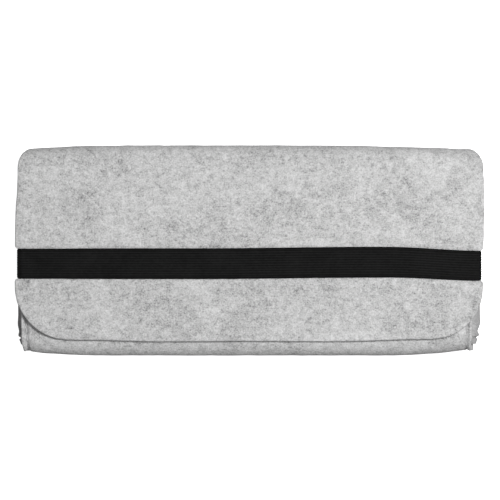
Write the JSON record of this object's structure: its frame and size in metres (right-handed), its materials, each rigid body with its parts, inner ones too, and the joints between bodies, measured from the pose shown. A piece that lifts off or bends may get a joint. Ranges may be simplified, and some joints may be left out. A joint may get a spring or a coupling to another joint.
{
  "type": "soft glasses case",
  "caption": "Soft felt glasses case with side gussets, a fold-over flap with round corners and an elastic strap across the front.",
  "frame": {"origin": "middle of the case's outline, on the outer face of the back panel", "axes": "+X across the width, +Y towards the top fold, +Z out of the front; the case lies on its back"},
  "size_m": [0.1876, 0.084, 0.0367],
  "materials": {
    "felt": "light grey mottled needle felt",
    "thread": "light grey sewing thread",
    "strap_thread": "black sewing thread",
    "elastic": "black woven elastic with fine lengthwise ribs"
  },
  "bodies": {
    "pouch": {"front_panel": "felt", "bottom_fold": "felt", "back_panel": "felt", "left_gusset": "felt", "right_gusset": "felt", "left_seam_thread": "thread", "right_seam_thread": "thread", "left_bobbin_thread": "thread", "right_bobbin_thread": "thread", "left_strap_end": "elastic", "right_strap_end": "elastic", "left_strap_tack": "strap_thread", "right_strap_tack": "strap_thread"},
    "wall": {"top_wall": "felt"},
    "flap": {"flap": "felt"},
    "strap_sides": {"left_strap_side": "elastic", "right_strap_side": "elastic"},
    "strap_front": {"strap_front": "elastic"}
  },
  "joints": [
    {"name": "lower_fold", "type": "hinge", "parent": "pouch", "child": "wall", "pos_m": [0, 0.04075, 0.00125], "axis": [-1, 0, 0], "range_deg": [0, 90]},
    {"name": "upper_fold", "type": "hinge", "parent": "wall", "child": "flap", "pos_m": [0, 0.04075, 0.03155], "axis": [-1, 0, 0], "range_deg": [0, 85]},
    {"name": "strap_swing", "type": "hinge", "parent": "pouch", "child": "strap_sides", "pos_m": [0, -0.0052, 0.0034], "axis": [1, 0, 0], "range_deg": [0, 75.2]},
    {"name": "strap_stretch", "type": "slide", "parent": "strap_sides", "child": "strap_front", "axis": [0, 0, 1], "range_m": [0, 0.0229], "stiffness_N_per_m": 60, "deforming": ["left_strap_side", "right_strap_side", "strap_front"]}
  ],
  "couplings": [
    {"joint": "strap_swing", "follows": "strap_stretch", "rad_per_m": 57.2}
  ]
}
